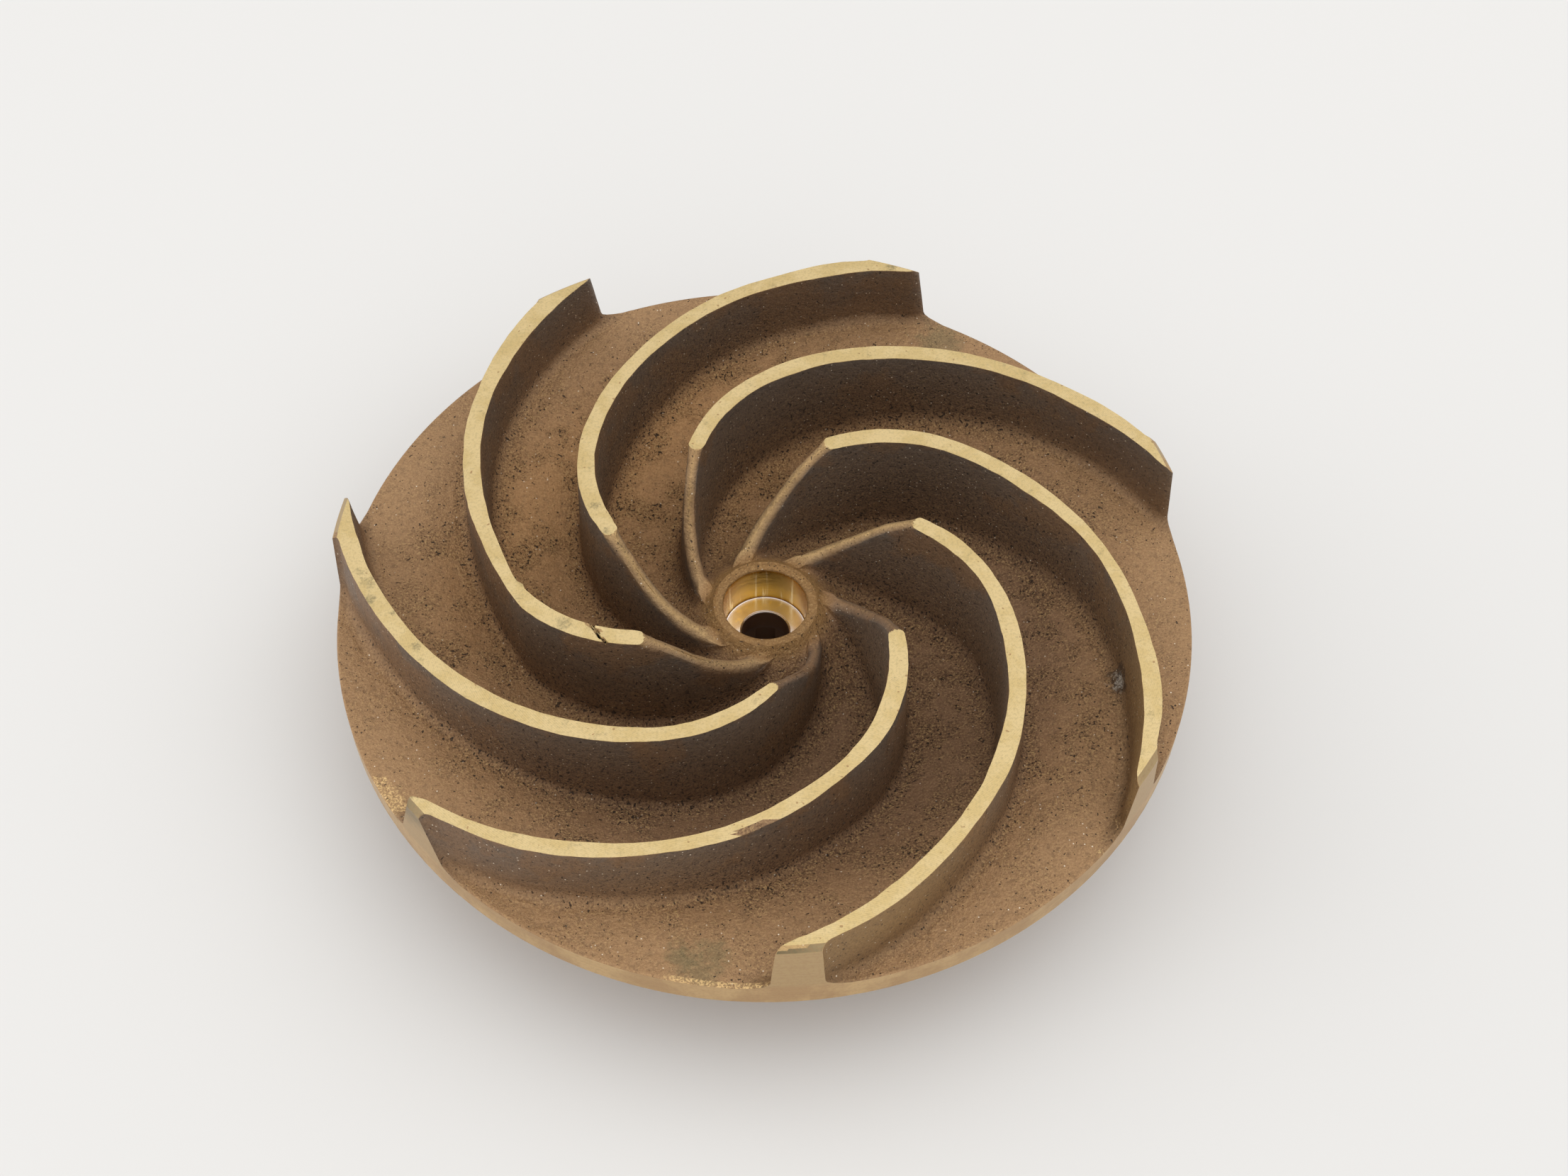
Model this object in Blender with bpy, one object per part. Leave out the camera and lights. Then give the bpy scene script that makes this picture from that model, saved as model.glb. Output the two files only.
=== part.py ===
"""Semi-open pump impeller, cast in one piece of bronze, with seven backward-curved vanes.

Metres, +Z up along the shaft. The origin is the centre of the rear hub face, on which the
impeller rests with its vanes up. Radii and heights below are in millimetres; heights are
measured from that face unless a comment says otherwise.
"""
import math

import bmesh
import bpy

MM = 0.001

# Disc and rim, which are cast a little large and then turned to size
DISC_RADIUS = 100.0
RIM_FRONT_HEIGHT = 34.0
RIM_THICKNESS = 7.0
RIM_BACK_CHAMFER = 0.6
TURNING_ALLOWANCE = 1.2
DISC_STEPS = 56

# Dished floor between the vanes: radius, and height over the rim's front edge
FLOOR_STATIONS = ((12.3, -2.1), (15.0, -4.6), (20.0, -9.4), (27.0, -12.6), (36.0, -13.2),
                  (48.0, -11.2), (62.0, -6.8), (76.0, -2.4), (88.0, -0.4), (101.2, 0.0))
FLOOR_RADII = (12.3, 13.5, 15.5, 18.0, 21.0, 25.0, 31.0, 38.0, 48.0, 60.0, 72.0, 86.0)

# Back of the disc: a flat land at the rim, then a dish into the rear hub, as radius and depth
# below the rim's front edge
REAR_STATIONS = ((91.0, 7.0), (78.0, 9.2), (62.0, 13.4), (46.0, 17.8), (34.0, 19.6), (26.5, 20.8))
REAR_HUB_RADIUS = 19.0
REAR_HUB_FILLET = 6.5
REAR_HUB_CHAMFER = 1.0

# Stepped bore on the shaft's axis
HUB_MOUTH_DROP = 2.1
COUNTERBORE_RADIUS = 10.0
COUNTERBORE_DEPTH = 11.2
MOUTH_CHAMFER = 0.4
BOLT_HOLE_RADIUS = 5.75
WEB_THICKNESS = 6.9
SHAFT_BORE_RADIUS = 8.5
SHAFT_BORE_CHAMFER = 0.8
KEYWAY_WIDTH = 5.0
KEYWAY_DEPTH = 2.3

# Vanes: cast over height, then turned off to one plane; the cast crest runs down to the hub
VANE_COUNT = 7
VANE_HEIGHT = 17.0
VANE_THICKNESS = 3.85
VANE_DRAFT_DEG = 1.5
VANE_TIP_ANGLE_DEG = 118.6
VANE_ROOT_FILLET = 2.6
VANE_BURIED = 2.4
CREST_ROUNDING = 1.3
TIP_BEVEL = 1.3
# Towards the rim the convex side is thinned, and the last few millimetres turn outwards to a blunt end
TIP_RELIEF = 0.8
TIP_RELIEF_START = 92.0
TIP_RELIEF_END = 98.0
TIP_TURN_DEG = 2.3
TIP_TURN_START = 97.8

# Blade angle to the tangent, in degrees, by radius
BLADE_ANGLES = ((12.0, 48.0), (37.0, 47.0), (46.0, 39.3), (55.0, 30.3), (72.0, 26.6), (90.0, 22.1),
                (100.0, 18.5))
# Height of the cast crest over the rim's front edge, by radius
CREST_STATIONS = ((12.0, -5.0), (19.0, -0.6), (25.0, 4.6), (31.0, 12.0), (38.0, 17.0), (44.0, 18.3),
                  (102.0, 18.3))
# Radii at which a vane's cross-section is drawn
SECTION_RADII = (12.4, 15.0, 18.0, 21.0, 24.0, 27.0, 30.0, 33.0, 36.0, 39.0, 42.0, 46.0, 50.0,
                 54.5, 59.0, 64.0, 69.0, 74.0, 79.0, 84.0, 88.5, 92.5, 95.5, 97.8, 99.0, 100.0, 101.8)

# How far the turning tool stands clear of the blank
TOOL_CLEARANCE = 4.0
TOOL_INNER_RADIUS = 33.0

BRONZE_COLOUR = (0.36, 0.25, 0.14, 1.0)
BRONZE_ROUGHNESS = 0.5


def clear_scene():
    for item in list(bpy.data.objects):
        bpy.data.objects.remove(item, do_unlink=True)


def along(stations, radius):
    """Straight-line value between (radius, value) stations."""
    if radius <= stations[0][0]:
        return stations[0][1]
    for (near, low), (far, high) in zip(stations, stations[1:]):
        if radius <= far:
            return low + (high - low) * (radius - near) / (far - near)
    return stations[-1][1]


def smooth_along(stations, radius):
    """Value between stations on a curve whose slope at a station is that of its neighbours."""
    radius = min(max(radius, stations[0][0]), stations[-1][0])
    last = len(stations) - 1
    index = next(i for i in range(last) if radius <= stations[i + 1][0])

    def slope(i):
        before = stations[max(i - 1, 0)]
        after = stations[min(i + 1, last)]
        return (after[1] - before[1]) / (after[0] - before[0])

    (near, low), (far, high) = stations[index], stations[index + 1]
    width = far - near
    t = (radius - near) / width
    rise = (2 * t**3 - 3 * t**2 + 1) * low + (3 * t**2 - 2 * t**3) * high
    bend = (t**3 - 2 * t**2 + t) * slope(index) + (t**3 - t**2) * slope(index + 1)
    return rise + bend * width


def floor_height(radius):
    return RIM_FRONT_HEIGHT + smooth_along(FLOOR_STATIONS, radius)


def crest_height(radius):
    return RIM_FRONT_HEIGHT + smooth_along(CREST_STATIONS, radius)


def blade_angle(radius):
    return math.radians(along(BLADE_ANGLES, radius))


def vane_angle(radius, steps=160):
    """Polar angle of a vane's centre line: each small step inwards turns by dr / (r tan(blade angle))."""
    step = (DISC_RADIUS - radius) / steps
    angle = math.radians(VANE_TIP_ANGLE_DEG)
    for i in range(steps):
        middle = DISC_RADIUS - (i + 0.5) * step
        angle += step / (middle * math.tan(blade_angle(middle)))
    turned = max(0.0, (radius - TIP_TURN_START) / (DISC_RADIUS - TIP_TURN_START))
    return angle + math.radians(TIP_TURN_DEG) * turned**1.5


def bore_and_disc_profile():
    """Half section of everything turned about the shaft, clockwise from the bore's mouth."""
    mouth = RIM_FRONT_HEIGHT - HUB_MOUTH_DROP
    shoulder = mouth - COUNTERBORE_DEPTH
    web_back = shoulder - WEB_THICKNESS
    cast_radius = DISC_RADIUS + TURNING_ALLOWANCE
    profile = [(COUNTERBORE_RADIUS + MOUTH_CHAMFER, mouth)]
    profile += [(r, floor_height(r)) for r in FLOOR_RADII]
    profile += [(cast_radius, RIM_FRONT_HEIGHT),
                (cast_radius, RIM_FRONT_HEIGHT - RIM_THICKNESS)]
    profile += [(r, RIM_FRONT_HEIGHT - drop) for r, drop in REAR_STATIONS]
    fillet_top = RIM_FRONT_HEIGHT - REAR_STATIONS[-1][1]
    for turn in (25.0, 50.0, 75.0):
        bend = math.radians(turn)
        profile.append((REAR_HUB_RADIUS + REAR_HUB_FILLET * (1 - math.sin(bend)),
                        fillet_top - REAR_HUB_FILLET * (1 - math.cos(bend))))
    profile += [(REAR_HUB_RADIUS, fillet_top - REAR_HUB_FILLET),
                (REAR_HUB_RADIUS, REAR_HUB_CHAMFER),
                (REAR_HUB_RADIUS - REAR_HUB_CHAMFER, 0.0),
                (SHAFT_BORE_RADIUS + SHAFT_BORE_CHAMFER, 0.0),
                (SHAFT_BORE_RADIUS, SHAFT_BORE_CHAMFER),
                (SHAFT_BORE_RADIUS, web_back),
                (BOLT_HOLE_RADIUS, web_back),
                (BOLT_HOLE_RADIUS, shoulder),
                (COUNTERBORE_RADIUS, shoulder),
                (COUNTERBORE_RADIUS, mouth - MOUTH_CHAMFER)]
    return profile


def new_object(name, build_mesh):
    mesh = bpy.data.meshes.new(name)
    body = bmesh.new()
    build_mesh(body)
    body.to_mesh(mesh)
    body.free()
    made = bpy.data.objects.new(name, mesh)
    bpy.context.scene.collection.objects.link(made)
    return made


def revolved(name, profile):
    """A body of revolution about the shaft from one closed half section of (radius, height) corners."""
    def half_section(body):
        corners = [body.verts.new((r * MM, 0.0, z * MM)) for r, z in profile]
        for corner, following in zip(corners, corners[1:] + corners[:1]):
            body.edges.new((corner, following))

    made = new_object(name, half_section)
    turning = made.modifiers.new("turning", "SCREW")
    turning.axis = "Z"
    turning.angle = math.tau
    turning.steps = DISC_STEPS
    turning.render_steps = DISC_STEPS
    turning.use_merge_vertices = True
    turning.merge_threshold = 0.00001
    turning.use_smooth_shade = True
    return made


def as_tool(made):
    """Mark an object as one that only shapes another."""
    made.hide_render = True
    made.display_type = "WIRE"
    return made


def half_widths(radius):
    """Levels of a vane's cross-section, bottom to top: height, and offset from its centre line."""
    floor = floor_height(radius)
    crest = crest_height(radius)
    half = VANE_THICKNESS / 2
    draft = math.tan(math.radians(VANE_DRAFT_DEG))
    height = max(crest - floor, 0.8)
    fillet = min(VANE_ROOT_FILLET, 0.8 * height)
    foot = half + height * draft
    shoulder = max(crest - CREST_ROUNDING, floor + fillet + 0.05)
    return [(floor - VANE_BURIED, foot + fillet + 0.5),
            (floor, foot + fillet),
            (floor + 0.22 * fillet, foot + 0.38 * fillet),
            (floor + fillet, foot),
            (shoulder, half),
            (max(crest, shoulder + 0.05), half - 0.62 * CREST_ROUNDING)]


def vane_section(body, radius, turn):
    """One closed ring of vertices round the vane, all at the same radius."""
    centre = vane_angle(radius) + turn
    spread = 1.0 / (radius * math.sin(blade_angle(radius)))
    thinned = (radius - TIP_RELIEF_START) / (TIP_RELIEF_END - TIP_RELIEF_START)
    relief = TIP_RELIEF * min(max(thinned, 0.0), 1.0)**2
    levels = half_widths(radius)

    def corner(offset, z):
        angle = centre + offset * spread
        return body.verts.new((radius * math.cos(angle) * MM, radius * math.sin(angle) * MM, z * MM))

    convex_side = [corner(half - relief, z) for z, half in levels]
    concave_side = [corner(-half, z) for z, half in reversed(levels)]
    return convex_side + concave_side


def vane(index):
    """A vane as cross-sections joined from the hub to the rim, with its root buried in the disc."""
    turn = -index * math.tau / VANE_COUNT

    def loft(body):
        rings = [vane_section(body, radius, turn) for radius in SECTION_RADII]
        for near, far in zip(rings, rings[1:]):
            count = len(near)
            for i in range(count):
                following = (i + 1) % count
                body.faces.new((near[i], far[i], far[following], near[following]))
        body.faces.new(rings[0])
        body.faces.new(list(reversed(rings[-1])))
        bmesh.ops.recalc_face_normals(body, faces=body.faces[:])

    return as_tool(new_object("cast_vane_%d" % (index + 1), loft))


def turning_tool():
    """What the lathe takes off: the vane tops, their outer corners and the disc's edge."""
    top = RIM_FRONT_HEIGHT + VANE_HEIGHT
    back = RIM_FRONT_HEIGHT - RIM_THICKNESS
    outside = DISC_RADIUS + TURNING_ALLOWANCE + TOOL_CLEARANCE
    profile = [(TOOL_INNER_RADIUS, top + TOOL_CLEARANCE),
               (outside, top + TOOL_CLEARANCE),
               (outside, back - TOOL_CLEARANCE),
               (DISC_RADIUS - RIM_BACK_CHAMFER - TOOL_CLEARANCE, back - TOOL_CLEARANCE),
               (DISC_RADIUS, back + RIM_BACK_CHAMFER),
               (DISC_RADIUS, top - TIP_BEVEL),
               (DISC_RADIUS - TIP_BEVEL, top),
               (TOOL_INNER_RADIUS, top)]
    return as_tool(revolved("turning_tool", profile))


def keyway_tool():
    """Square bar that cuts the keyway up to the web."""
    web_back = RIM_FRONT_HEIGHT - HUB_MOUTH_DROP - COUNTERBORE_DEPTH - WEB_THICKNESS
    reach = SHAFT_BORE_RADIUS + KEYWAY_DEPTH
    size = (KEYWAY_WIDTH * MM, reach * MM, (web_back + TOOL_CLEARANCE) * MM)
    shift = (0.0, reach / 2 * MM, (web_back - TOOL_CLEARANCE) / 2 * MM)

    def bar(body):
        bmesh.ops.create_cube(body, size=1.0)
        bmesh.ops.scale(body, vec=size, verts=body.verts)
        bmesh.ops.translate(body, vec=shift, verts=body.verts)

    return as_tool(new_object("keyway_tool", bar))


def combine(target, tool, operation):
    step = target.modifiers.new(tool.name, "BOOLEAN")
    step.operation = operation
    step.solver = "EXACT"
    step.object = tool


def bronze():
    material = bpy.data.materials.new("cast_bronze")
    material.use_nodes = True
    shader = material.node_tree.nodes["Principled BSDF"]
    shader.inputs["Base Color"].default_value = BRONZE_COLOUR
    shader.inputs["Roughness"].default_value = BRONZE_ROUGHNESS
    shader.inputs["Metallic"].default_value = 1.0
    return material


def build():
    clear_scene()
    impeller = revolved("impeller", bore_and_disc_profile())
    impeller.data.materials.append(bronze())
    for index in range(VANE_COUNT):
        combine(impeller, vane(index), "UNION")
    combine(impeller, turning_tool(), "DIFFERENCE")
    combine(impeller, keyway_tool(), "DIFFERENCE")


build()
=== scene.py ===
# %% [markdown]
# A pump impeller, cast in bronze and turned on a lathe, as a lesson in cells.
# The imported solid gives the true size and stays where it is. This script dresses it with one fine
# mesh that repeats its construction: a dished disc, seven backward-curved vanes and a stepped bore.
# Heights and radii are in millimetres here and become metres when the mesh is made.

# %% The fixed frame
import math

import bpy
import numpy as np
from mathutils import Matrix, Vector, noise


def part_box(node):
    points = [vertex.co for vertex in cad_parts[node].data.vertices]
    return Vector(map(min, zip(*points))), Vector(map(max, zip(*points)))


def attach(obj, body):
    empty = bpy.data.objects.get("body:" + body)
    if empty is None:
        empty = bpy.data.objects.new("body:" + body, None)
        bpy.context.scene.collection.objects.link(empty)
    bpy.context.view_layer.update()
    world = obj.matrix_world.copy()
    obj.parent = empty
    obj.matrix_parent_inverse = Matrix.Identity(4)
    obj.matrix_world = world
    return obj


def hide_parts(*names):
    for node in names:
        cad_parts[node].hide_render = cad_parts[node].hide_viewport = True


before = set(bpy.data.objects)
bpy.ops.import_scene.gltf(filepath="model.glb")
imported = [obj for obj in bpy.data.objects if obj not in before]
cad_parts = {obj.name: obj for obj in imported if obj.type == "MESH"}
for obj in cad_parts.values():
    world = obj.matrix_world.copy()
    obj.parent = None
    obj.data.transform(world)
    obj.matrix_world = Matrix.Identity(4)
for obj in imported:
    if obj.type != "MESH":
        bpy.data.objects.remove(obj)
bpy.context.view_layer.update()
MM = 0.001
high_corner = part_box("impeller")[1]
DISC_RADIUS = round(high_corner.x / MM, 3)
VANE_TOP = round(high_corner.z / MM, 3)
print("disc radius %.2f mm, vane tops at %.2f mm" % (DISC_RADIUS, VANE_TOP))

# %% [markdown]
# The camera stands where the photograph was taken: about 50 cm from the part, looking down on it at
# a little over 50 degrees. A focal length and three angles say it all, so no target object is needed.

# %% The camera
FOCAL_LENGTH = 47.157
SENSOR_WIDTH = 36.0
CAMERA_PLACE = (0.0, -0.2851025, 0.4250973)
CAMERA_PAN = math.radians(0.86987)
CAMERA_TILT = math.radians(53.62089)
CAMERA_ROLL = math.radians(1.04446)


def add_camera():
    data = bpy.data.cameras.new("camera")
    data.lens = FOCAL_LENGTH
    data.sensor_width = SENSOR_WIDTH
    data.sensor_fit = "HORIZONTAL"
    camera = bpy.data.objects.new("camera", data)
    bpy.context.scene.collection.objects.link(camera)
    placed = Matrix.Translation(CAMERA_PLACE)
    for angle, axis in ((-CAMERA_PAN, "Z"), (math.pi / 2 - CAMERA_TILT, "X"), (CAMERA_ROLL, "Z")):
        placed = placed @ Matrix.Rotation(angle, 4, axis)
    camera.matrix_world = placed
    bpy.context.scene.camera = camera
    return camera


camera = add_camera()
print("camera at", [round(value, 4) for value in camera.location])

# %% [markdown]
# The disc's front is dished: level with the rim outside, deepest under the vanes' inner ends, and
# rising again to a low lip round the bore. A few stations and a smooth curve through them carry that
# shape, and the same curve serves the crest of the vanes, which were cast with the disc.

# %% Heights over the disc
RIM_FRONT = 34.0
FLOOR_STATIONS = ((12.3, -2.1), (15.0, -4.6), (20.0, -9.4), (27.0, -12.6), (36.0, -13.2),
                  (48.0, -11.2), (62.0, -6.8), (76.0, -2.4), (88.0, -0.4), (101.2, 0.0))
EYE_END = 37.5
CREST_STATIONS = ((12.0, -5.0), (19.0, -0.6), (25.0, 4.8), (31.0, 12.2), (34.1, 15.5), (35.5, 17.0),
                  (36.6, 18.45), (EYE_END, 18.75), (102.0, 18.75))
RIM_EDGE_BREAK = 0.3
TIP_BEVEL = 1.3


def ramp(value, start, end):
    """0 before the start, 1 after the end and a straight rise between them."""
    return np.clip((value - start) / (end - start), 0.0, 1.0)


def from_axis(places):
    return np.hypot(places[..., 0], places[..., 1])


def smooth_along(stations, radius):
    """Value between stations on a curve whose slope at a station is that of its neighbours."""
    r = np.array([station[0] for station in stations])
    v = np.array([station[1] for station in stations])
    slope = np.gradient(v, r)
    slope[1:-1] = (v[2:] - v[:-2]) / (r[2:] - r[:-2])
    radius = np.clip(radius, r[0], r[-1])
    i = np.clip(np.searchsorted(r, radius, side="right") - 1, 0, len(r) - 2)
    width = r[i + 1] - r[i]
    t = (radius - r[i]) / width
    rise = (2 * t**3 - 3 * t**2 + 1) * v[i] + (3 * t**2 - 2 * t**3) * v[i + 1]
    bend = (t**3 - 2 * t**2 + t) * slope[i] + (t**3 - t**2) * slope[i + 1]
    return rise + bend * width


def floor_height(radius):
    """Front of the disc, with the rim's edge broken by the lathe."""
    broken = np.maximum(0.0, radius - (DISC_RADIUS - RIM_EDGE_BREAK))
    return RIM_FRONT + smooth_along(FLOOR_STATIONS, radius) - broken


def turned_height(radius):
    """Plane of the turned vane tops, with the bevel at their outer corners."""
    return VANE_TOP - np.maximum(0.0, radius - (DISC_RADIUS - TIP_BEVEL))


print("floor at 36 mm radius: %.2f mm" % floor_height(np.array([36.0]))[0])

# %% [markdown]
# A vane's centre line is a spiral: at each radius it leans from the tangent by its blade angle.
# Adding up small steps dr / (r tan angle) from the rim inwards gives the polar angle, which is how a
# pattern maker sets out such a vane, so no traced points are needed.

# %% Seven spirals
VANE_COUNT = 7
VANE_TIP_ANGLE = math.radians(118.6)
TIP_TURN = math.radians(2.3)
TIP_TURN_START = 97.8
BLADE_ANGLES = ((12.0, 48.0), (37.0, 47.0), (46.0, 39.3), (55.0, 30.3), (72.0, 26.6), (90.0, 22.1),
                (100.0, 18.5))
SPIRAL_STEPS = 4000


def blade_angle(radius):
    return np.radians(np.interp(radius, *zip(*BLADE_ANGLES)))


def vane_angle(radius):
    """Polar angle of the first vane's centre line."""
    steps = np.linspace(DISC_RADIUS, 12.0, SPIRAL_STEPS)
    turn = 1.0 / (steps * np.tan(blade_angle(steps)))
    summed = np.cumsum(np.append(0.0, (turn[1:] + turn[:-1]) / 2 * (steps[:-1] - steps[1:])))
    turned = ramp(radius, TIP_TURN_START, DISC_RADIUS)
    return VANE_TIP_ANGLE + np.interp(-radius, -steps, summed) + TIP_TURN * turned**1.5


print("a vane sweeps %.0f degrees" % math.degrees(vane_angle(38.0) - vane_angle(98.0)))

# %% [markdown]
# The pattern was filled by hand, so each vane strays a little from the spiral and swells or thins
# along its length. Each row below is one vane: radius, sideways shift and extra thickness. Some feet
# flare out towards the rim, and each cast crest carries a painted highlight of its own strength.

# %% How each vane strays
VANE_STRAYS = (
    ((36, -0.3, 0.3), (47, 0.8, 0.0), (57, 1.8, 0.2), (60.5, 0.4, 0.3), (66, -0.2, 0.3),
     (82, 0.2, 0.4), (92, -0.1, 0.7), (98, 0.5, 1.6)),
    ((36, 0.1, 0.5), (46, 0.0, 0.5), (60, 0.0, 0.0), (70, -0.1, -0.5), (83, 0.6, 0.0),
     (89, 0.2, 0.0), (95, 1.1, 0.0), (98, 1.1, 0.9)),
    ((36, -0.2, 0.0), (52, 0.1, 0.0), (60, 0.6, 0.3), (68, 0.5, 0.6), (80, 0.4, 0.5),
     (87, -0.1, 0.4), (92, -0.1, -0.2), (98, 0.4, 0.2)),
    ((36, -0.3, 0.2), (46, -0.3, 0.6), (53, -0.3, 0.1), (63, -0.7, 0.1), (70, -0.2, -0.4),
     (76, 0.3, -0.6), (86, -0.4, 0.0), (96, 0.0, 0.6), (100, -0.4, -0.4)),
    ((36, 0.0, 0.3), (45, 0.0, 0.2), (60, -0.2, 0.0), (76, 0.0, 0.3), (83, -0.6, 0.0),
     (89, -0.6, -0.2), (94, -0.4, -0.3), (98, -0.1, -0.2), (100, -0.2, 0.0)),
    ((36, -0.2, 0.3), (48, -0.3, 0.4), (57, 0.1, 0.0), (63, -0.3, -0.4), (72, 0.1, -0.6),
     (85, -0.4, -0.3), (92, -0.5, -0.3), (96.5, -1.1, -0.5), (100, -0.3, -1.75)),
    ((36, 0.3, -0.8), (45, 0.0, -0.2), (60, -0.3, 0.1), (75, -0.1, 0.1), (86, -0.1, -0.2),
     (93, 0.2, 0.1), (98, 1.2, 0.8)),
)
TIP_FLARES = (0.2, 0.2, 0.3, 0.3, -0.2, 1.0, 0.4)
TIP_FLARE_START = 88.0
CREST_HIGHLIGHT = (0.6, 0.8, 0.5, 0.8, 0.9, 0.1, 0.05)


def stray(vane, radius):
    """Sideways shift and extra thickness of a vane at some radii."""
    r, shift, extra = zip(*VANE_STRAYS[vane])
    return np.interp(radius, r, shift), np.interp(radius, r, extra)


print("largest shift %.1f mm" % max(abs(row[1]) for rows in VANE_STRAYS for row in rows))

# %% [markdown]
# The mesh is a net of rings and columns. Rings lie at fixed radii and crowd where the shape changes
# fast. Across each vane the columns climb a fillet, the drafted wall and the crest, and down again.
# A net like this keeps clean quads and puts an edge exactly where the lathe cut the vane tops.

# %% Rings of the net
CRACK_RADIUS = 43.4
CRACK_BAND = 0.6
RING_SPACING = ((12.3, 0.7), (34.2, 0.22), (38.0, 0.6), (CRACK_RADIUS - CRACK_BAND, 0.2),
                (CRACK_RADIUS + CRACK_BAND, 0.8), (96.0, 0.4), (DISC_RADIUS - TIP_BEVEL, 0.26))


def ring_radii():
    starts = [start for start, step in RING_SPACING] + [DISC_RADIUS]
    radii = [starts[0]]
    for (start, step), end in zip(RING_SPACING, starts[1:]):
        count = max(1, round((end - start) / step))
        radii += list(np.linspace(start, end, count + 1)[1:])
    return np.array(radii)


rings = ring_radii()
print(len(rings), "rings from %.1f to %.1f mm" % (rings[0], rings[-1]))

# %% [markdown]
# In section a vane rises from a moulded fillet, leans in with its draft and rounds over at the crest.
# Where the lathe cut the crest off, the rounding stops at that plane and leaves a crisp edge. Near the
# bore the crest is left as cast, and the section there is thinner, rounder and stands on wider fillets.

# %% Levels of one side of a vane
VANE_THICKNESS = 3.85
VANE_DRAFT = math.tan(math.radians(1.5))
ROOT_FILLETS = ((12.0, 1.6), (18.0, 2.6), (24.0, 3.6), (32.0, 3.4), (42.0, 2.6))
CREST_ROUNDING = 1.8
EYE_ROUNDING = 0.96
EYE_THINNING = ((16.0, 1.0), (26.0, 0.78), (33.5, 0.70), (EYE_END, 1.0))
EDGE_BREAK = 0.15
LEAST_BEND = 0.25
LEAST_HEIGHT = 0.02
TALL_ENOUGH = 5.0
TIP_RELIEF = 0.8
TIP_RELIEF_START = 92.0
TIP_RELIEF_END = 98.0
FILLET_STEPS = 5
WALL_STEPS = 4
ROUNDING_STEPS = 3
CREST_COLUMNS = 5
SIDE_COLUMNS = FILLET_STEPS + WALL_STEPS + ROUNDING_STEPS + 1
VANE_COLUMNS = 2 * SIDE_COLUMNS + CREST_COLUMNS
FLOOR_COLUMNS = 44
EDGE_TRIES = 14
WALL_CROWDING = 1.7


def crest_over(radius, offset):
    """Height of the crest beside the centre line. The net's rings cut a vane at a slant, so a point
    that lies aside belongs to a place a little further in or out along the vane."""
    return RIM_FRONT + smooth_along(CREST_STATIONS, radius - offset * np.cos(blade_angle(radius)))


def rounded_crest(radius, offset, half, rounding):
    """Height of the rounded crest at an offset, cut off by the lathe."""
    over = np.clip((np.abs(offset) - (half - rounding)) / rounding, 0.0, 1.0)
    uncut = crest_over(radius, offset) - rounding * (1 - np.sqrt(1 - over**2))
    return np.minimum(uncut, turned_height(radius))


def side_levels(radius, full_half, foot_extra, side):
    """Foot to top edge of one side: offset from the centre line, height, and how level it faces."""
    floor = floor_height(radius)
    height = np.maximum(crest_over(radius, side * full_half) - floor, LEAST_HEIGHT)
    fillet = np.minimum(np.interp(radius, *zip(*ROOT_FILLETS)), 0.8 * height)
    foot = full_half + height * VANE_DRAFT + foot_extra
    half = full_half * np.interp(radius, *zip(*EYE_THINNING))
    rounding = np.minimum(np.minimum(CREST_ROUNDING, EYE_ROUNDING * half), 0.9 * (height - fillet))
    spring = floor + height - rounding
    cut = radius > EYE_END
    spring = np.where(cut, np.minimum(spring, turned_height(radius) - EDGE_BREAK), spring)
    levels = []
    for step in range(FILLET_STEPS + 1):
        bend = math.pi / 2 * step / FILLET_STEPS
        levels.append((foot + fillet * (1 - math.sin(bend)), floor + fillet * (1 - math.cos(bend)),
                       np.full_like(radius, math.sin(bend))))
    for step in range(1, WALL_STEPS + 1):
        t = 1 - (1 - step / WALL_STEPS)**WALL_CROWDING
        levels.append((foot + (half - foot) * t, floor + fillet + (spring - floor - fillet) * t,
                       np.ones_like(radius)))
    bend = np.zeros_like(radius)
    for _ in range(EDGE_TRIES):
        edge = half - rounding * (1 - np.cos(bend))
        above = crest_over(radius, side * edge) - turned_height(radius)
        bend = (bend + np.arcsin(np.clip(1 - above / rounding, LEAST_BEND, 1.0))) / 2
    for step in range(1, ROUNDING_STEPS + 1):
        offset = half - rounding * (1 - np.cos(bend * step / ROUNDING_STEPS))
        cast = np.maximum(rounded_crest(radius, side * offset, half, rounding), spring)
        broken = spring + (turned_height(radius) - spring) * step / ROUNDING_STEPS
        levels.append((offset, np.where(cut, broken, cast), np.cos(bend * step / ROUNDING_STEPS)))
    return [np.array(part) for part in zip(*levels)] + [half, rounding]


sample = side_levels(np.array([70.0]), np.array([VANE_THICKNESS / 2]), 0.0, 1)
print("wall at 70 mm radius: foot %.2f mm out, top %.2f mm out" % (sample[0][0, 0], sample[0][-1, 0]))

# %% [markdown]
# Sand leaves a skin that is never quite even. Four sizes of soft noise, from lumps of half an inch
# down to grains, move the cast points along their own direction, while turned faces stay true.

# %% The sand's unevenness
SAND_WAVES = ((14.0, 0.22), (5.5, 0.13), (2.4, 0.09), (1.3, 0.05))
FINE_SIZE = 3.0
FOOT_ROUGHNESS = 1.6


def sand(points, roughness=1.0):
    """Displacement in millimetres at each point of an (n, 3) array; roughness scales the fine waves."""
    total = np.zeros(len(points))
    for size, amount in SAND_WAVES:
        wave = amount * np.array([noise.noise(Vector(p)) for p in points / size])
        total += wave * (roughness if size < FINE_SIZE else 1.0)
    return total


print("sand skin within %.2f mm" % sum(amount for size, amount in SAND_WAVES))

# %% [markdown]
# One vane is drawn on every ring at once: both sides, and a few columns over the crest between them.
# The sand moves cast points along the direction they face, and turned points stay on the lathe's plane.
# Masks go along with the points, so the finishes know foot, wall and crest from each other.

# %% One vane across all rings
CUT_BAND = 0.05


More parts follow.
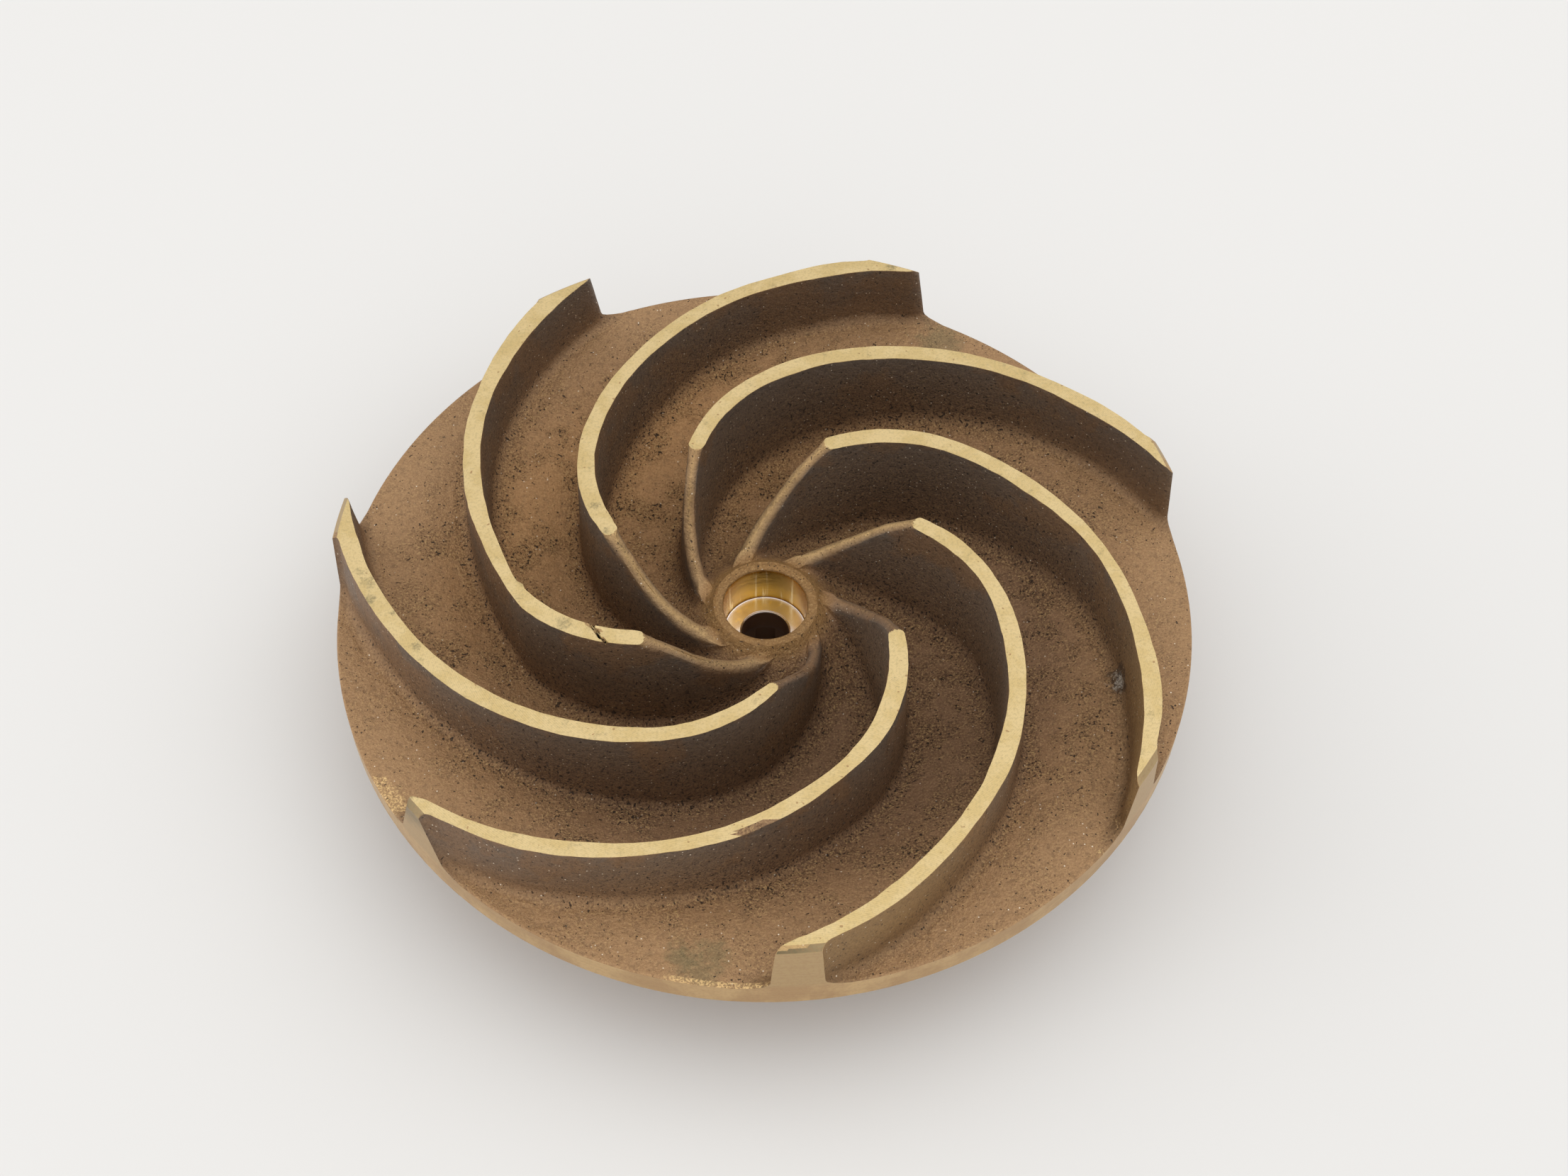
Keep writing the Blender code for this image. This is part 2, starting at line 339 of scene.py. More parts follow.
def vane_columns(vane, turn):
    """Points of a vane as rings by columns."""
    beta = blade_angle(rings)
    shift, extra = stray(vane, rings)
    half = (VANE_THICKNESS + extra) / 2
    flare = TIP_FLARES[vane] * ramp(rings, TIP_FLARE_START, DISC_RADIUS)
    thinned = ramp(rings, TIP_RELIEF_START, TIP_RELIEF_END)
    concave = side_levels(rings, half, flare, -1)
    convex = side_levels(rings, half - TIP_RELIEF * thinned**2, flare, 1)
    share = np.linspace(-1, 1, CREST_COLUMNS + 2)[1:-1, None]
    crest_offset = np.where(share < 0, share * concave[0][-1], share * convex[0][-1])
    half, rounding = (np.where(share < 0, concave[part], convex[part]) for part in (3, 4))
    crest_height = rounded_crest(rings, crest_offset, half, rounding)
    least = np.minimum(concave[1][-1], convex[1][-1])
    crest_height = np.maximum(crest_height, np.minimum(least, turned_height(rings)))
    offset = np.vstack([-concave[0], crest_offset, convex[0][::-1]])
    height = np.vstack([concave[1], crest_height, convex[1][::-1]])
    level = np.vstack([-concave[2], np.tile(share, (1, len(rings))), convex[2][::-1]])
    cut = np.clip((height - turned_height(rings)) / CUT_BAND + 1.0, 0.0, 1.0)
    upward = np.sqrt(np.clip(1 - level**2, 0, 1)) * (1 - cut)
    angle = vane_angle(rings) + turn + (offset + shift) / (rings * np.sin(beta))
    x, y = rings * np.cos(angle), rings * np.sin(angle)
    normal = angle + beta
    near_foot = np.concatenate([np.ones(FILLET_STEPS), np.linspace(1, 0, SIDE_COLUMNS - FILLET_STEPS)])
    rough = 1 + FOOT_ROUGHNESS * np.concatenate([near_foot, np.zeros(CREST_COLUMNS), near_foot[::-1]])
    unsanded = np.stack([x, y, height], -1).reshape(-1, 3)
    grain = sand(unsanded, np.repeat(rough, len(rings))).reshape(x.shape)
    x = x + grain * level * np.cos(normal)
    y = y + grain * level * np.sin(normal)
    height = np.where(cut > 0, height, height + grain * upward)
    return np.stack([x, y, height], -1).transpose(1, 0, 2)


def vane_masks(vane):
    """Masks of the wall's foot, the wall and the crest ridge's painted highlight, by ring and column.
    """
    foot = np.concatenate([np.linspace(0.7, 1.0, FILLET_STEPS), np.linspace(0.9, 0.0, 1 + WALL_STEPS),
                           np.zeros(ROUNDING_STEPS)])
    wall = np.concatenate([np.linspace(0.0, 0.8, FILLET_STEPS + 1), np.ones(WALL_STEPS),
                           np.linspace(0.7, 0.2, ROUNDING_STEPS)])
    crest = CREST_HIGHLIGHT[vane] * np.concatenate([np.zeros(FILLET_STEPS + WALL_STEPS + 1),
                                                np.linspace(0.2, 0.9, ROUNDING_STEPS)])
    above_floor = smooth_along(CREST_STATIONS, rings) - smooth_along(FLOOR_STATIONS, rings)
    tall = ramp(above_floor, 0.0, TALL_ENOUGH)
    masks = []
    for side, middle in ((foot, 0.0), (wall, 0.15), (crest, CREST_HIGHLIGHT[vane])):
        across = np.concatenate([side, np.full(CREST_COLUMNS, middle), side[::-1]])
        masks.append(tall[:, None] * across)
    return np.stack(masks, -1)


def vane_number(k):
    """The vanes are numbered the other way round from their order in the net."""
    return (VANE_COUNT - k) % VANE_COUNT


vanes = [vane_columns(vane_number(k), k * math.tau / VANE_COUNT) for k in range(VANE_COUNT)]
print("seven vanes of", vanes[0].shape[:2], "points")

# %% [markdown]
# The floor between two vanes runs from one foot to the next at each ring, so its columns follow the
# channel as the metal flowed. The points crowd a little towards the feet, where the fillets begin.

# %% The floor between the vanes
FOOT_REACH = 7.0
FLOOR_CROWDING = 0.08


def foot_nearness(channel, near, far):
    """1 at a wall's foot, fading over a few millimetres of floor."""
    gap = np.minimum(np.linalg.norm(channel - near[:, -1:], axis=-1),
                     np.linalg.norm(channel - far[:, :1], axis=-1))
    return np.clip(1.0 - gap / FOOT_REACH, 0.0, 1.0)


def floor_between(near, far):
    """Floor points of one channel, between the last column of one vane and the first of the next."""
    start = np.arctan2(near[:, -1, 1], near[:, -1, 0])
    end = np.arctan2(far[:, 0, 1], far[:, 0, 0])
    width = (end - start) % math.tau
    spacing = np.linspace(0, 1, FLOOR_COLUMNS + 2)[1:-1]
    share = spacing - FLOOR_CROWDING * np.sin(math.tau * spacing)
    angle = start[:, None] + width[:, None] * share
    x, y = rings[:, None] * np.cos(angle), rings[:, None] * np.sin(angle)
    height = np.repeat(floor_height(rings)[:, None], FLOOR_COLUMNS, axis=1)
    points = np.stack([x, y, height], -1)
    rough = 1 + FOOT_ROUGHNESS * foot_nearness(points, near, far)
    points[..., 2] += sand(points.reshape(-1, 3), rough.reshape(-1)).reshape(x.shape)
    return points


def channel_masks(channel, near, far):
    foot = 0.8 * foot_nearness(channel, near, far)
    return np.stack([foot, np.zeros_like(foot), np.zeros_like(foot)], -1)


columns, masks = [], []
for k in range(VANE_COUNT):
    near, far = vanes[k], vanes[(k + 1) % VANE_COUNT]
    channel = floor_between(near, far)
    columns += [near, channel]
    masks += [vane_masks(vane_number(k)), channel_masks(channel, near, far)]
front = np.concatenate(columns, axis=1)
front_masks = np.concatenate(masks, axis=1)
PITCH_COLUMNS = VANE_COLUMNS + FLOOR_COLUMNS
print("front net: %d rings by %d columns" % front.shape[:2])

# %% [markdown]
# The lathe turns the rim and the vane ends to one cylinder, so the last ring is drawn to the disc's
# radius exactly, and the sand's unevenness fades out there.

# %% The turned edge of the front
RIM_CALM = 3.0
plan = from_axis(front)
calm = np.clip((DISC_RADIUS - rings) / RIM_CALM, 0.0, 1.0)[:, None]
target = rings[:, None] + (plan - rings[:, None]) * calm
front[..., :2] *= (target / plan)[..., None]
front[-1, :, :2] *= (DISC_RADIUS / from_axis(front[-1]))[:, None]
front[..., 2] = np.minimum(front[..., 2], turned_height(from_axis(front)))
level_floor = floor_height(rings)[:, None]
for k in range(VANE_COUNT):
    channel = slice(k * PITCH_COLUMNS + VANE_COLUMNS, (k + 1) * PITCH_COLUMNS)
    front[:, channel, 2] = level_floor + (front[:, channel, 2] - level_floor) * calm
print("last ring lies within %.4f mm of the disc" % abs(from_axis(front[-1]) - DISC_RADIUS).max())

# %% [markdown]
# Years of handling left marks: a crack across one vane, a chip, a nick, two burrs and a lump of metal
# where the mould had crumbled. Each mark pushes the net's points near a place along one direction.

# %% Marks in the metal
MARKS = (
    ((-3.2, -72.7, 50.8), 1.1, (-0.1, 0.35, -0.25)), ((-2.0, -72.1, 50.8), 1.1, (-0.1, 0.45, -0.35)),
    ((-0.7, -71.4, 50.8), 1.1, (-0.1, 0.45, -0.35)), ((0.5, -70.7, 50.8), 1.0, (-0.1, 0.35, -0.25)),
    ((24.2, 13.4, 42.0), 1.3, (0.2, 0.2, -0.6)), ((-55.2, -8.9, 50.6), 1.2, (0.5, 0.3, 0.0)),
    ((31.8, 92.8, 50.6), 1.4, (0.3, -0.5, 0.0)), ((-60.3, 50.0, 51.0), 1.2, (-0.1, 0.1, -0.5)),
    ((81.4, -23.2, 33.6), 2.8, (0.0, 0.0, 1.5)), ((79.6, -21.4, 33.6), 2.0, (0.0, 0.0, 0.8)),
    ((82.2, -26.0, 33.6), 1.8, (0.0, 0.0, 0.9)), ((78.3, -25.4, 33.6), 2.2, (0.0, 0.0, -0.7)),
    ((76.9, -61.6, 34.0), 1.4, (0.0, 0.0, 0.5)), ((-81.4, -58.6, 34.0), 1.6, (0.0, 0.0, -0.3)),
)
CRACKED_VANE = 0
CRACK_DEPTH = 1.1
CRACK_JAG = 0.32
CRACK_FADE = 0.28


def pushed(net, centre, reach, push):
    """Move points within reach of a place, most at the place itself."""
    gap = np.linalg.norm(net - np.array(centre), axis=-1) / reach
    share = np.clip(1.0 - gap**2, 0.0, 1.0)**1.5
    net += share[..., None] * np.array(push)


def cracked(net):
    """Open a jagged line across one vane at the crack's radius; return how far each point sank."""
    first = vane_number(CRACKED_VANE) * PITCH_COLUMNS
    edge = FILLET_STEPS + WALL_STEPS
    across = np.arange(first + edge, first + VANE_COLUMNS - edge)
    column = np.arange(len(across))
    jag = CRACK_JAG * np.sin(2.1 * column + 0.6 * np.sin(1.3 * column))
    away = np.abs(rings[:, None] - CRACK_RADIUS - jag)
    depth = np.clip(1.3 - away / CRACK_FADE, 0.0, 1.0)
    net[:, across, 2] -= CRACK_DEPTH * depth
    sunk = np.zeros(net.shape[:2])
    sunk[:, across[1:-1]] = np.clip(1.6 * depth[:, 1:-1], 0.0, 1.0)
    return sunk


for centre, reach, push in MARKS:
    pushed(front, centre, reach, push)
scar = cracked(front)
front_masks = np.concatenate([front_masks, scar[..., None]], axis=-1)
print("marks:", len(MARKS), "and a crack %.1f mm deep" % CRACK_DEPTH)

# %% [markdown]
# All parts of the mesh share one list of points and one list of faces, so neighbours can use the same
# points and the casting closes without seams. Every face remembers its finish.

# %% A store for points and faces
CAST, TURNED, RIM, BORE = range(4)
points, point_masks = [], []
quads, quad_finish, triangles, triangle_finish = [], [], [], []
stored = 0


def store(new_points, masks=(0.0, 0.0, 0.0, 0.0)):
    """Add points and return their numbers in the mesh, in the shape they came in."""
    global stored
    flat = np.asarray(new_points, float).reshape(-1, 3)
    points.append(flat)
    point_masks.append(np.broadcast_to(masks, new_points.shape[:-1] + (4,)).reshape(-1, 4))
    numbers = np.arange(stored, stored + len(flat)).reshape(new_points.shape[:-1])
    stored += len(flat)
    return numbers


def store_quads(a, b, c, d, finish):
    quads.append(np.stack([a, b, c, d], -1).reshape(-1, 4))
    quad_finish.append(np.broadcast_to(finish, a.shape).reshape(-1))


# %% [markdown]
# Now the net becomes faces. A face whose four corners lie on the lathe's plane is a turned one, and in
# the last millimetre it belongs to the bevel, which was cut together with the rim.

# %% The front net
ON_PLANE = 0.01
front_ids = store(front, front_masks)
following = np.roll(front_ids, -1, axis=1)
on_cut = np.abs(front[..., 2] - turned_height(from_axis(front))) < ON_PLANE
around = np.roll(on_cut, -1, axis=1)
turned = on_cut[:-1] & on_cut[1:] & around[:-1] & around[1:] | (scar[:-1] + scar[1:] > 0.3)
on_bevel = np.repeat((rings[1:] > DISC_RADIUS - TIP_BEVEL + ON_PLANE)[:, None], turned.shape[1], axis=1)
finish = np.where(turned, np.where(on_bevel, RIM, TURNED), CAST)
store_quads(front_ids[:-1], front_ids[1:], following[1:], following[:-1], finish)
print("turned faces on the vane tops:", int((finish == TURNED).sum()))

# %% [markdown]
# A vane ends on the disc's cylinder as a narrow upright face. It is filled level by level, from one
# side's column to the other's, so its edges share their points with the walls and the rim.

# %% Vane ends
END_COLUMNS = CREST_COLUMNS


def vane_end(k):
    """Fill one vane's end and return the numbers along its bottom edge."""
    first = k * PITCH_COLUMNS
    concave = front_ids[-1, first:first + SIDE_COLUMNS]
    convex = front_ids[-1, first + VANE_COLUMNS - SIDE_COLUMNS:first + VANE_COLUMNS][::-1]
    crest = front_ids[-1, first + SIDE_COLUMNS:first + SIDE_COLUMNS + CREST_COLUMNS]
    placed = front[-1]
    rows = []
    for level in range(SIDE_COLUMNS - 1):
        left = placed[first + level]
        right = placed[first + VANE_COLUMNS - 1 - level]
        share = np.linspace(0, 1, END_COLUMNS + 2)[1:-1]
        start = math.atan2(left[1], left[0])
        width = (math.atan2(right[1], right[0]) - start) % math.tau
        angle = start + width * share
        height = left[2] + (right[2] - left[2]) * share
        inner = np.stack([DISC_RADIUS * np.cos(angle), DISC_RADIUS * np.sin(angle), height], -1)
        rows.append(np.concatenate([[concave[level]], store(inner), [convex[level]]]))
    rows.append(np.concatenate([[concave[-1]], crest, [convex[-1]]]))
    rows = np.array(rows)
    store_quads(rows[:-1, :-1], rows[:-1, 1:], rows[1:, 1:], rows[1:, :-1], RIM)
    return rows[0]


rim_edge = []
for k in range(VANE_COUNT):
    after_vane = k * PITCH_COLUMNS + VANE_COLUMNS
    rim_edge += [vane_end(k), front_ids[-1, after_vane:after_vane + FLOOR_COLUMNS]]
rim_edge = np.concatenate(rim_edge)
print("rim edge:", len(rim_edge), "points")

# %% [markdown]
# Everything else is turned or cast round the shaft: the bore's lip and steps, the shaft bore with its
# keyway, the rear hub, the dished back and the rim. One half section, walked from the lip inwards and
# round the back to the rim, describes it all.

# %% Half section of the bore and the back
HUB_LIP = RIM_FRONT - 2.1
COUNTERBORE_RADIUS = 10.0
SHOULDER = HUB_LIP - 11.2
BOLT_HOLE_RADIUS = 5.75
WEB_BACK = SHOULDER - 6.9
SHAFT_BORE_RADIUS = 8.5
SHAFT_BORE_CHAMFER = 0.8
REAR_HUB_RADIUS = 19.0
REAR_HUB_CHAMFER = 1.0
REAR_HUB_FILLET = 6.5
RIM_BACK = RIM_FRONT - 7.0
RIM_BACK_CHAMFER = 0.6
REAR_STATIONS = ((26.5, -20.8), (34.0, -19.6), (46.0, -17.8), (62.0, -13.4), (78.0, -9.2),
                 (91.0, -7.0))
ROUND_COLUMNS = 224
HUB_FILLET_STEPS = 6
BACK_RINGS = 34


def run(start, end, count):
    """Evenly spaced corners after the start, up to the end."""
    start, way = np.array(start), np.array(end) - np.array(start)
    return [tuple(start + way * i / count) for i in range(1, count + 1)]


def bore_section():
    """Lip, counterbore, shoulder and bolt hole: (radius, height, finish of the band before it)."""
    lip = [(12.0, HUB_LIP - 0.12), (11.6, HUB_LIP), (11.0, HUB_LIP), (10.5, HUB_LIP - 0.05),
           (10.25, HUB_LIP - 0.16), (10.08, HUB_LIP - 0.34), (COUNTERBORE_RADIUS, HUB_LIP - 0.6)]
    wall = run(lip[-1], (COUNTERBORE_RADIUS, SHOULDER + 0.3), 8)
    wall += [(9.9, SHOULDER + 0.08), (9.7, SHOULDER)]
    seat = run(wall[-1], (BOLT_HOLE_RADIUS + 0.35, SHOULDER), 5)
    seat.append((BOLT_HOLE_RADIUS, SHOULDER - 0.35))
    hole = run(seat[-1], (BOLT_HOLE_RADIUS, WEB_BACK + 0.3), 5)
    bored = wall + seat + hole
    return [corner + (CAST,) for corner in lip] + [corner + (BORE,) for corner in bored]


def back_section():
    """Rear hub and dished back, from the hub's flat face outwards."""
    fillet_top = RIM_FRONT + REAR_STATIONS[0][1]
    corners = run((10.4, 0.0), (REAR_HUB_RADIUS - REAR_HUB_CHAMFER, 0.0), 5)
    turned = len(corners) + 1
    corners += [(REAR_HUB_RADIUS, REAR_HUB_CHAMFER)]
    corners += run(corners[-1], (REAR_HUB_RADIUS, fillet_top - REAR_HUB_FILLET), 4)
    for step in range(1, HUB_FILLET_STEPS + 1):
        bend = math.pi / 2 * step / HUB_FILLET_STEPS
        corners.append((REAR_HUB_RADIUS + REAR_HUB_FILLET * (1 - math.cos(bend)),
                        fillet_top - REAR_HUB_FILLET * (1 - math.sin(bend))))
    for radius in np.linspace(REAR_STATIONS[0][0], REAR_STATIONS[-1][0] - 0.5, BACK_RINGS):
        corners.append((radius, RIM_FRONT + float(smooth_along(REAR_STATIONS, radius))))
    return [corner + (BORE if i < turned else CAST,) for i, corner in enumerate(corners)]


print("bore section has %d corners, back section %d" % (len(bore_section()), len(back_section())))

# %% [markdown]
# Bore and back are rings about one axis, each banded to the one before. A keyway was broached through
# the shaft bore, so the rings there step outwards at the key and crowd their columns at its corners.

# %% Round rings, and the keyed ones in the shaft bore
KEYWAY_WIDTH = 5.0
KEYWAY_DEPTH = 2.3
KEY_TOP_COLUMN = 8
KEY_WALL_COLUMN = 11
KEY_CALM_COLUMN = 24
round_angle = math.tau * np.arange(ROUND_COLUMNS) / ROUND_COLUMNS


def round_ring(radius, height):
    return np.stack([-radius * np.sin(round_angle), radius * np.cos(round_angle),
                     np.full(ROUND_COLUMNS, height)], -1)


def keyed_ring(radius, height):
    """A ring that steps outwards at the keyway, with its columns drawn to the keyway's corners."""
    reach = SHAFT_BORE_RADIUS + KEYWAY_DEPTH
    top_corner = math.atan2(KEYWAY_WIDTH / 2, reach)
    wall_corner = math.asin(KEYWAY_WIDTH / 2 / radius)
    step = math.tau / ROUND_COLUMNS
    away = np.minimum(round_angle, math.tau - round_angle)
    calm = KEY_CALM_COLUMN * step
    warped = np.interp(away, [0, KEY_TOP_COLUMN * step, KEY_WALL_COLUMN * step, calm, math.pi],
                       [0, top_corner, wall_corner, calm, math.pi])
    on_key_wall = KEYWAY_WIDTH / 2 / np.sin(np.maximum(warped, 1e-3))
    distance = np.where(warped < top_corner + 1e-9, reach / np.cos(warped),
                        np.where(warped < wall_corner, on_key_wall, radius))
    side = np.where(round_angle > math.pi, 1.0, -1.0)
    return np.stack([side * distance * np.sin(warped), distance * np.cos(warped),
                     np.full(ROUND_COLUMNS, height)], -1)


def joined_bands(ring_list, first_ids):
    """Store rings one after another and band each to the one before it."""
    before = first_ids
    for ring, finish in ring_list:
        numbers = store(ring)
        store_quads(before, np.roll(before, -1), np.roll(numbers, -1), numbers, finish)
        before = numbers
    return before


def zipped(outer, inner, finish):
    """Triangles between two closed rings that have different numbers of points."""
    everything = np.concatenate(points)

    def unrolled(numbers):
        turn = np.arctan2(everything[numbers, 1], everything[numbers, 0]) % math.tau
        start = int(np.argmin(turn))
        numbers, turn = np.roll(numbers, -start), np.roll(turn, -start)
        return np.append(numbers, numbers[0]), np.append(turn, turn[0] + math.tau)

    a, a_turn = unrolled(outer)
    b, b_turn = unrolled(inner)
    i = j = 0
    while i < len(a) - 1 or j < len(b) - 1:
        along_a = j == len(b) - 1 or (i < len(a) - 1 and a_turn[i + 1] <= b_turn[j + 1])
        if along_a:
            triangles.append((a[i], a[i + 1], b[j]))
            i += 1
        else:
            triangles.append((a[i], b[j + 1], b[j]))
            j += 1
        triangle_finish.append(finish)


def sanded(ring, outward, height_share):
    """A cast ring moved by the sand's unevenness along its own direction."""
    grain = sand(ring)
    moved = ring.copy()
    moved[:, :2] *= (1 + grain * outward / from_axis(ring))[:, None]
    moved[:, 2] += grain * height_share
    return moved


# %% [markdown]
# The front's innermost ring is zipped to the lip, and from there one chain of bands runs down through
# the counterbore and the bolt hole, out of the shaft bore and over the rear hub and the dished back.

# %% The bore, the hub and the back
section = bore_section()
first_bore = store(round_ring(section[0][0], section[0][1]))
zipped(front_ids[0], first_bore, CAST)
bands = [(round_ring(radius, height), finish) for radius, height, finish in section[1:]]
bands.append((round_ring(BOLT_HOLE_RADIUS + 0.2, WEB_BACK), BORE))
bands += [(keyed_ring(SHAFT_BORE_RADIUS, height), BORE)
          for height in np.linspace(WEB_BACK, SHAFT_BORE_CHAMFER, 8)]
bands.append((keyed_ring(SHAFT_BORE_RADIUS + SHAFT_BORE_CHAMFER, 0.0), BORE))
back = back_section()
for i, (radius, height, finish) in enumerate(back):
    ring = round_ring(radius, height)
    if finish == CAST and height > REAR_HUB_CHAMFER + 0.5:
        before, after = back[i - 1], back[min(i + 1, len(back) - 1)]
        slope = math.atan2(after[1] - before[1], after[0] - before[0])
        ring = sanded(ring, math.sin(slope), -math.cos(slope))
    bands.append((ring, finish))
last_back = joined_bands(bands, first_bore)
print("bands from the lip to the back:", len(bands))

# %% [markdown]
# The rim's columns are those of the front's edge, so the turned band meets the channels and the vane
# ends point by point. Its last ring is the front's edge itself, and with it the casting is closed.

# %% The rim
def rim_ring(radius, height):
    """A ring with the same columns as the front's edge."""
    edge = np.concatenate(points)[rim_edge]
    plan = from_axis(edge)
    x, y = edge[:, 0] * radius / plan, edge[:, 1] * radius / plan
    return np.stack([x, y, np.full(len(edge), height)], -1)


rim_section = [(DISC_RADIUS - RIM_BACK_CHAMFER, RIM_BACK), (DISC_RADIUS, RIM_BACK + RIM_BACK_CHAMFER)]
rim_section += run(rim_section[-1], (DISC_RADIUS, RIM_FRONT - RIM_EDGE_BREAK - 0.4), 4)
land = store(rim_ring(REAR_STATIONS[-1][0], RIM_BACK))
zipped(last_back, land, CAST)
rim_top = joined_bands([(rim_ring(radius, height), RIM) for radius, height in rim_section], land)
store_quads(rim_top, np.roll(rim_top, -1), np.roll(rim_edge, -1), rim_edge, RIM)
print("points stored:", stored)

# %% [markdown]
# The stored points and faces become one mesh. Smooth shading with sharp edges kept at a steep angle
# shows cast skin as soft and lathe cuts as crisp.

# %% The casting as one mesh
SHARP_ANGLE = math.radians(38)


def casting_mesh():
    places = np.concatenate(points) * MM
    faces = np.concatenate(quads).tolist() + np.array(triangles).tolist()
    mesh = bpy.data.meshes.new("impeller_casting")
    mesh.from_pydata(places.tolist(), [], faces)
    finishes = np.concatenate([np.concatenate(quad_finish), np.array(triangle_finish)])
    mesh.polygons.foreach_set("material_index", finishes.astype(np.int32))
    for name, values in zip(("foot", "wall", "crest", "scar"), np.concatenate(point_masks).T):
        mask = mesh.attributes.new(name, "FLOAT", "POINT")
        mask.data.foreach_set("value", np.ascontiguousarray(values, np.float32))
    mesh.shade_smooth()
    mesh.set_sharp_from_angle(angle=SHARP_ANGLE)
    mesh.update()
    return mesh


casting = bpy.data.objects.new("impeller_casting", casting_mesh())
bpy.context.scene.collection.objects.link(casting)
triangle_count = sum(len(face.vertices) - 2 for face in casting.data.polygons)
print("the casting has %d triangles" % triangle_count)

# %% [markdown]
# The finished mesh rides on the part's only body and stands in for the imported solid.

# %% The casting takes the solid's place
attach(casting, "root")
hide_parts("impeller")
print("the casting stands for the impeller")

# %% [markdown]
# Finishes come next. All of them are node materials that read the object's own coordinates, so they
# stay put when the part turns. Small helpers keep each finish short, and first come the ones that
# make a node and give what it reads: a place on the object, a noise of a size in millimetres, a mask.

# %% Helpers that start from the object's own coordinates
def new_material(name):
    material = bpy.data.materials.new(name)
    material.use_nodes = True
    return material, material.node_tree, material.node_tree.nodes["Principled BSDF"]


def feed(tree, socket, value):
    """Link a socket to another one, or give it a number, a direction or a colour."""
    if hasattr(value, "links"):
        tree.links.new(value, socket)
    else:
        socket.default_value = value + (1.0,) if socket.type == "RGBA" else value


def made(tree, kind, values, **options):
    """Add a node, set its options, feed its inputs and return its outputs."""
    node = tree.nodes.new("ShaderNode" + kind)
    for option, choice in options.items():
        setattr(node, option, choice)
    for socket, value in values.items():
        feed(tree, node.inputs[socket], value)
    return node.outputs


def object_place(tree):
    return made(tree, "TexCoord", {})["Object"]


def on_vectors(tree, operation, first, second):
    return made(tree, "VectorMath", {0: first, 1: second}, operation=operation)


def stretched(tree, factors):
    """Coordinates scaled along each axis, which stretches a texture the other way."""
    return on_vectors(tree, "MULTIPLY", object_place(tree), factors)["Vector"]


def noise_value(tree, size_mm, detail=3.0, roughness=0.5, place=None):
    """Soft noise whose features are about size_mm across."""
    values = {"Vector": place or object_place(tree), "Scale": 1.0 / (size_mm * MM),
              "Detail": detail, "Roughness": roughness}
    return made(tree, "TexNoise", values)["Fac"]


def cells(tree, size_mm):
    """Scattered points: the distance to the nearest one, and a random value for each."""
    texture = made(tree, "TexVoronoi", {"Vector": object_place(tree), "Scale": 1.0 / (size_mm * MM)})
    return texture["Distance"], made(tree, "SeparateColor", {"Color": texture["Color"]})["Red"]


def mask(tree, name):
    """A mask that was worked out with the mesh, such as how near a point is to a wall's foot."""
    return made(tree, "Attribute", {}, attribute_name=name)["Fac"]


def distance_from_axis(tree):
    """Distance from the shaft's axis in metres."""
    flat = stretched(tree, (1.0, 1.0, 0.0))
    return on_vectors(tree, "LENGTH", flat, (0.0, 0.0, 0.0))["Value"]


print("first helpers ready")

# %% [markdown]
# The others work on values: arithmetic, soft steps, layers of colour, and ragged spots at given
# places. A socket knows its own node tree as id_data, so these need to be told the tree only where
# they start from the object's coordinates again.

# %% Helpers for steps, layers and spots
def stepped(value, low, high, start=0.0, end=1.0):
    """start below low, end above high, and a soft step between them."""
    values = {"Value": value, "From Min": low, "From Max": high, "To Min": start, "To Max": end}
    return made(value.id_data, "MapRange", values, interpolation_type="SMOOTHSTEP")["Result"]


def combined(operation, first, second=0.0):
    """Arithmetic on a socket and a second value, which is a socket or a number."""
    return made(first.id_data, "Math", {0: first, 1: second}, operation=operation)["Value"]


def times(first, second):
    return combined("MULTIPLY", first, second)


def plus(first, second):
    return combined("ADD", first, second)


def less(first, second):
    return combined("SUBTRACT", first, second)


def most(first, second):
    return combined("MAXIMUM", first, second)


def layered(ground, layers):
    """Lay colours over a ground one after another, each by its share."""
    for share, colour in layers:
        mix = made(share.id_data, "Mix", {"Factor": share, 6: ground, 7: colour}, data_type="RGBA")
        ground = mix[2]
    return ground


def by_radius(tree, inner_mm, outer_mm, start=0.0, end=1.0):
    """A soft step between two distances from the axis."""
    return stepped(distance_from_axis(tree), inner_mm * MM, outer_mm * MM, start, end)


def by_place(tree, axis, low_mm, high_mm, start=0.0, end=1.0):
    """A soft step between two places along X, Y or Z."""
    split = made(tree, "SeparateXYZ", {"Vector": object_place(tree)})
    return stepped(split[axis], low_mm * MM, high_mm * MM, start, end)


def patch(tree, centre_mm, reach_mm, ragged=0.5):
    """A ragged spot: 1 at its centre and 0 past its reach."""
    centre = tuple(value * MM for value in centre_mm)
    gap = on_vectors(tree, "DISTANCE", object_place(tree), centre)["Value"]
    edge = less(noise_value(tree, 0.9 * reach_mm, 5.0, 0.75), 0.5)
    edge = times(edge, ragged * 9 * reach_mm * MM)
    return stepped(plus(gap, edge), 0.3 * reach_mm * MM, 1.5 * reach_mm * MM, 1.0, 0.0)


def patches(tree, spots, ragged):
    """Several ragged spots at once, each given by its centre and reach."""
    strongest = 0.0
    for centre, reach in spots:
        strongest = most(patch(tree, centre, reach, ragged), strongest)
    return strongest


def finished(tree, shader, colour, metallic, roughness, relief, depth_mm):
    """Connect a finish: its colour, how metallic and rough it is, and its relief."""
    bump = made(tree, "Bump", {"Height": relief, "Distance": depth_mm * MM})["Normal"]
    for name, value in (("Base Color", colour), ("Metallic", metallic), ("Roughness", roughness),
                        ("Normal", bump)):
        feed(tree, shader.inputs[name], value)


print("all helpers ready")
